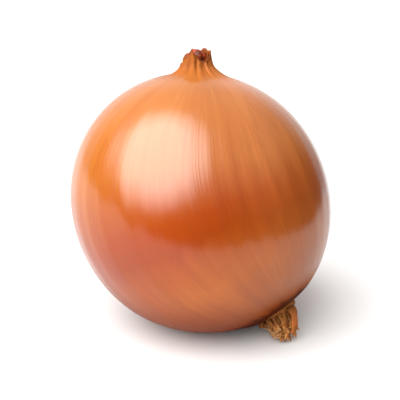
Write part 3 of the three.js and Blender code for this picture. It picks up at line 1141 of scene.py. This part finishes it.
def root_line(degrees, spread, draws):
    """Start, bend and tip of a root, from its heading on the plate and how far out it grows."""
    out = heading(degrees)
    length = (SHORTEST_ROOT + (1 - SHORTEST_ROOT) * next(draws)) * (1 + (OUTER_ROOT - 1) * spread)
    curl = Vector((next(draws) - 0.5, next(draws) - 0.5, next(draws) - 0.5)) * TUFT_CURL
    start = out * spread * ROOT_RING
    start.z = PLATE_HEIGHT / 2 * (1 + PLATE_TILT * start.dot(right_in_plate) / PLATE_HEIGHT)
    bend = start + plate_normal * ROOT_RISE + out * spread * ROOT_SPLAY + curl
    tip = start * TUFT_GATHER + tuft_tip * length + curl
    return start, keep_above_table(bend), keep_above_table(tip)


print("the tuft's tip is", round(tuft_tip.length / MM, 1), "mm from the plate")

# %% Roots, straps and hairs
# The roots fill the plate in a spiral, broader straps ring them, and finer hairs stray from both.
ROOTS = 44
STRAPS = 7
STRAP_HALF_WIDTH = 0.8 * MM
HAIRS = 3
HAIR_HALF_WIDTH = 0.26 * MM
HAIR_SPREAD = 1.6 * MM
GOLDEN_ANGLE = 137.5
TUFT_SEED = 1
PALE_TONES = (0.66, 0.8)
PALE_FROM = (0.1, 0.9)


def strand_tone(start):
    """Pale on the left of the tuft, where the roots are bleached, and mixed elsewhere."""
    leftness = -start.dot(right_in_plate) / PLATE_RADIUS
    return shake.uniform(*PALE_TONES) if leftness > shake.uniform(*PALE_FROM) else shake.random()


draws = seeded_draws(TUFT_SEED)
root_lines = []
for number in range(ROOTS):
    root_lines.append(root_line(number * GOLDEN_ANGLE, math.sqrt((number + 0.5) / ROOTS), draws))
strap_lines = [root_line(360 * number / STRAPS, 1, draws) for number in range(STRAPS)]
roots = [lay_strand(line, ROOT_HALF_WIDTH, strand_tone(line[0])) for line in root_lines]
roots += [lay_strand(line, STRAP_HALF_WIDTH, strand_tone(line[0])) for line in strap_lines]
for start, bend, tip in root_lines + strap_lines:
    for hair in range(HAIRS):
        sway = Vector((shake.uniform(-1, 1), shake.uniform(-1, 1), shake.uniform(-1, 1))) * HAIR_SPREAD
        hair_line = (start + sway / 2, keep_above_table(bend + sway), keep_above_table(tip - sway))
        roots.append(lay_strand(hair_line, HAIR_HALF_WIDTH, strand_tone(start)))
print(len(roots), "strands")

# %% The fringe round the plate
# Short strands curl out of the plate's edge. On the left they splay more, and lie back across the plate.
FRINGE = 28
FRINGE_HALF_WIDTH = 0.32 * MM
FRINGE_JITTER = math.degrees(0.1)
FRINGE_SPLAY = 0.8 * MM
LEFT_SPLAY = 0.5 * MM
FRINGE_RISE = (1 * MM, 2.5 * MM)
FRINGE_CURL = 2.8 * MM
FRINGE_TUCK = 2.5 * MM
LEFT_TUCK = 3.5 * MM
FRINGE_DROOP = (0.1, 0.4)
LEFT_LIFT = 0.7
FRINGE_TONES = (0, 0.6)

for number in range(FRINGE):
    out = heading(360 * number / FRINGE + shake.uniform(-FRINGE_JITTER, FRINGE_JITTER))
    leftness = max(0, -out.dot(right_in_plate))
    start = plate_shift + out * (PLATE_RADIUS - PLATE_EDGE) + UP * PLATE_HEIGHT / 2
    splay = shake.uniform(0, FRINGE_SPLAY) + LEFT_SPLAY * leftness
    bend = start + out * splay + plate_normal * shake.uniform(*FRINGE_RISE)
    curl = UP.cross(out) * shake.uniform(-1, 1) * FRINGE_CURL
    tuck = shake.uniform(0, FRINGE_TUCK) + LEFT_TUCK * leftness
    droop = shake.uniform(*FRINGE_DROOP) * (1 - LEFT_LIFT * leftness)
    tip = bend - out * tuck + tuft_tip * droop + curl
    fringe_line = (start, keep_above_table(bend), keep_above_table(tip))
    roots.append(lay_strand(fringe_line, FRINGE_HALF_WIDTH, shake.uniform(*FRINGE_TONES)))
print(len(roots), "strands with the fringe")

# %% One broad flap, and the whole tuft
FLAP_HALF_WIDTH = 1.6 * MM
FLAP_FRONT = 0.9
FLAP_RISE = 4 * MM
FLAP_SPLAY = 1.6 * MM
FLAP_GATHER = 0.5
FLAP_LENGTH = 0.75
FLAP_TONE = 0.95

flap_out = (right_in_plate + level(into_tuft @ towards_viewer) * FLAP_FRONT).normalized()
flap_start = plate_shift + flap_out * (PLATE_RADIUS - PLATE_EDGE / 2) + UP * PLATE_HEIGHT
flap_bend = flap_start + plate_normal * FLAP_RISE + flap_out * FLAP_SPLAY
flap_tip = flap_start * FLAP_GATHER + tuft_tip * FLAP_LENGTH
flap_line = (flap_start, keep_above_table(flap_bend), keep_above_table(flap_tip))
roots.append(lay_strand(flap_line, FLAP_HALF_WIDTH, FLAP_TONE))
bpy.data.objects.remove(strand)
tuft = join_pieces("root_tuft_dry", [plate, *roots])
place_piece(tuft, tuft_turn, bulb_centre + root_direction * root_seat)

# %% [markdown]
# Dry roots are tan to golden brown, each its own shade, browner where they leave the plate, with fine lines
# along them. A colour of its own for every root would take many materials. One is enough here: the tone that
# each strand keeps picks its shade, and noise stretched along the strand draws the lines.

# %% Dry roots
ROOT_BROWN = (0.27, 0.090, 0.018, 1)
LINE_BROWN = (0.09, 0.028, 0.008, 1)
ROOT_STOPS = [
    (0.0, (0.17, 0.055, 0.012, 1)),
    (0.3, (0.46, 0.19, 0.045, 1)),
    (0.55, (0.36, 0.12, 0.022, 1)),
    (0.75, (0.46, 0.25, 0.10, 1)),
    (0.9, (0.38, 0.105, 0.020, 1)),
]
ROOT_LINES = ((1.6, 1.6, 1.6), 4, 0.65)
BROWN_BASE = ((0.6, 0.05), 0.6, ROOT_BROWN)
DARK_LINES = ((0.48, 0.3), 0.6, LINE_BROWN)
ROOT_BUMP = (0.6, 0.2 * MM)
ROOT_ROUGHNESS = 0.6
LINE_ROUGHNESS = 0.25
ROOT_SPECULAR = 0.2


def root_material():
    """Matt, lined roots, each in the shade of its tone."""
    material, finish = new_finish("dry_roots")
    lines = finish.noise(finish.attribute("strand_place", "Vector"), *ROOT_LINES)
    colour = finish.add("ValToRGB", {"stops": ROOT_STOPS}, {"Fac": finish.attribute("tone")})
    colour = finish.stain(colour, finish.attribute("from_plate"), *BROWN_BASE)
    colour = finish.stain(colour, lines, *DARK_LINES)
    inputs = {
        "Base Color": colour,
        "Roughness": ROOT_ROUGHNESS + lines * LINE_ROUGHNESS,
        "Normal": finish.bump(lines, *ROOT_BUMP),
        "Specular IOR Level": ROOT_SPECULAR,
    }
    shader = finish.add("BsdfPrincipled", {}, inputs)
    finish.add("OutputMaterial", {}, {"Surface": shader})
    print(material.name, "has", len(material.node_tree.nodes), "nodes")
    return material


tuft.data.materials.append(root_material())
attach(tuft, "root")
onion_only.objects.link(tuft)
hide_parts("root_tuft")
